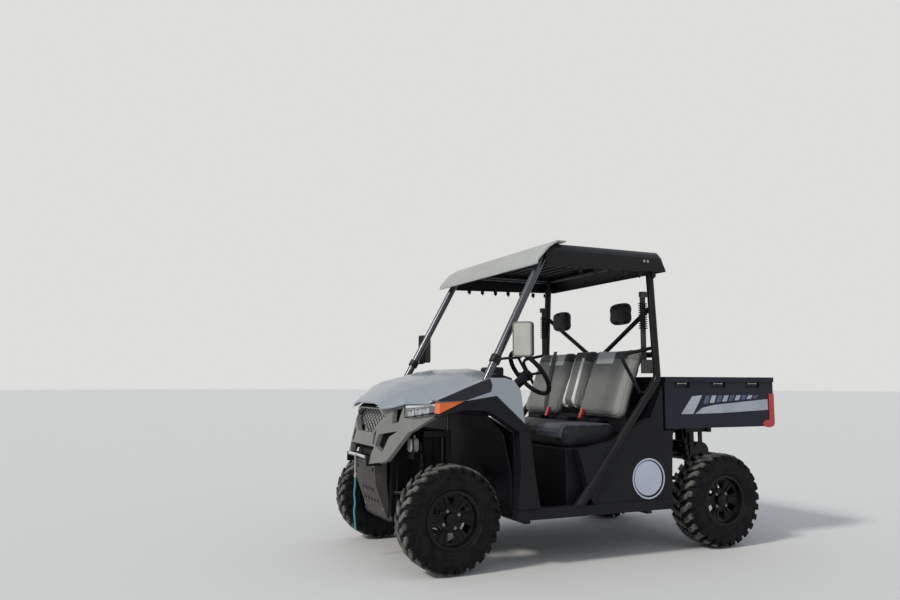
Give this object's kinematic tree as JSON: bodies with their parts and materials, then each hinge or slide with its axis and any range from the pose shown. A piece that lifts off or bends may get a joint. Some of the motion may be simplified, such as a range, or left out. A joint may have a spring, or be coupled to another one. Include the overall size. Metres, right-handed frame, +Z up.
{
  "type": "side by side utility vehicle",
  "caption": "Open side by side utility vehicle with roll cage, hard roof, bench seat, steered front wheels and a tipping cargo bed with a drop tailgate.",
  "frame": {"origin": "on the ground under the middle of the vehicle", "axes": "+X forwards, +Y to the left, +Z up"},
  "size_m": [2.9346, 1.6302, 2.0003],
  "materials": {
    "frame_steel": "black powder coat",
    "tyre": "dusty black",
    "rim": "satin black",
    "bright_steel": "brushed",
    "cast": "rough",
    "black_plastic": "grained",
    "silver_panel": "metallic",
    "grey_plastic": "matte",
    "seat_grey": "vinyl",
    "seat_dark": "vinyl",
    "head_lamp": "clear",
    "amber": "clear amber",
    "red_lamp": "clear red",
    "webbing": "woven",
    "teal_webbing": "woven",
    "engine": "cast"
  },
  "bodies": {
    "chassis": {"chassis_frame": "frame_steel", "front_tower": "frame_steel", "rear_tower": "frame_steel", "front_arms": "frame_steel", "rear_arms": "frame_steel", "rear_hoop": "frame_steel", "side_loops": "frame_steel", "bumper_bracket": "frame_steel", "tow_hitch": "frame_steel", "skid_guard": "frame_steel", "exhaust": "bright_steel", "rear_hubs": "cast", "drive_shafts": "cast", "rack_housing": "cast", "winch": "cast", "winch_hook": "cast", "shocks": "cast", "belly_pan": "black_plastic", "steering_column": "black_plastic", "cab_floor": "black_plastic", "footwell": "black_plastic", "dash": "black_plastic", "seat_box": "black_plastic", "roof_shell": "black_plastic", "front_arches": "black_plastic", "grille": "black_plastic", "side_panels": "black_plastic", "mirrors": "black_plastic", "radiator": "black_plastic", "hood": "silver_panel", "front_fenders": "silver_panel", "front_hoop": "silver_panel", "roof_visor": "silver_panel", "front_fascia": "grey_plastic", "seat_backs": "seat_grey", "seat_cushion": "seat_dark", "headrests": "seat_dark", "headlamps": "head_lamp", "corner_lamps": "amber", "seat_belts": "webbing", "winch_strap": "teal_webbing", "engine_block": "engine"},
    "left_steer": {"left_knuckle": "cast"},
    "right_steer": {"right_knuckle": "cast"},
    "rack_bar": {"tie_rods": "bright_steel"},
    "hand_wheel": {"steering_wheel": "black_plastic"},
    "wheel_front_left": {"front_left_tyre": "tyre", "front_left_rim": "rim"},
    "wheel_front_right": {"front_right_tyre": "tyre", "front_right_rim": "rim"},
    "wheel_rear_left": {"rear_left_tyre": "tyre", "rear_left_rim": "rim"},
    "wheel_rear_right": {"rear_right_tyre": "tyre", "rear_right_rim": "rim"},
    "bed": {"cargo_bed": "black_plastic", "tail_lamps": "red_lamp"},
    "gate": {"tailgate": "black_plastic"},
    "lift_cylinders": {"strut_cylinders": "frame_steel"},
    "lift_rods": {"strut_rods": "bright_steel"}
  },
  "joints": [
    {"name": "left_steering", "type": "hinge", "parent": "chassis", "child": "left_steer", "pos_m": [1.065, 0.488, 0.315], "axis": [0, 0, 1], "range_deg": [-30, 30]},
    {"name": "right_steering", "type": "hinge", "parent": "chassis", "child": "right_steer", "pos_m": [1.065, -0.488, 0.315], "axis": [0, 0, 1], "range_deg": [-30, 30]},
    {"name": "rack_slide", "type": "slide", "parent": "chassis", "child": "rack_bar", "axis": [0, 1, 0], "range_m": [-0.06, 0.06]},
    {"name": "hand_wheel_turn", "type": "hinge", "parent": "chassis", "child": "hand_wheel", "pos_m": [0.362, 0.35, 1.172], "axis": [-0.788, 0, 0.6157], "range_deg": [-270, 270]},
    {"name": "front_left_roll", "type": "hinge", "parent": "left_steer", "child": "wheel_front_left", "pos_m": [1.065, 0.598, 0.315], "axis": [0, 1, 0], "continuous": true},
    {"name": "front_right_roll", "type": "hinge", "parent": "right_steer", "child": "wheel_front_right", "pos_m": [1.065, -0.598, 0.315], "axis": [0, 1, 0], "continuous": true},
    {"name": "rear_left_roll", "type": "hinge", "parent": "chassis", "child": "wheel_rear_left", "pos_m": [-0.935, 0.631, 0.315], "axis": [0, 1, 0], "continuous": true},
    {"name": "rear_right_roll", "type": "hinge", "parent": "chassis", "child": "wheel_rear_right", "pos_m": [-0.935, -0.631, 0.315], "axis": [0, 1, 0], "continuous": true},
    {"name": "bed_tilt", "type": "hinge", "parent": "chassis", "child": "bed", "pos_m": [-1.262, 0, 0.758], "axis": [0, -1, 0], "range_deg": [0, 40]},
    {"name": "tailgate_drop", "type": "hinge", "parent": "bed", "child": "gate", "pos_m": [-1.465, 0, 0.815], "axis": [0, -1, 0], "range_deg": [0, 90]},
    {"name": "lift_lean", "type": "hinge", "parent": "chassis", "child": "lift_cylinders", "pos_m": [-0.763, 0, 0.48], "axis": [0, -1, 0], "range_deg": [-1, 1]},
    {"name": "lift_stroke", "type": "slide", "parent": "lift_cylinders", "child": "lift_rods", "axis": [-0.4232, 0, 0.906], "range_m": [0, 0.25]}
  ],
  "couplings": [
    {"joint": "right_steering", "follows": "left_steering", "ratio": 1},
    {"joint": "rack_slide", "follows": "left_steering", "m_per_rad": -0.112},
    {"joint": "hand_wheel_turn", "follows": "left_steering", "ratio": 9},
    {"joint": "lift_lean", "follows": "bed_tilt", "ratio": -0.0092},
    {"joint": "lift_stroke", "follows": "bed_tilt", "m_per_rad": 0.3507}
  ]
}
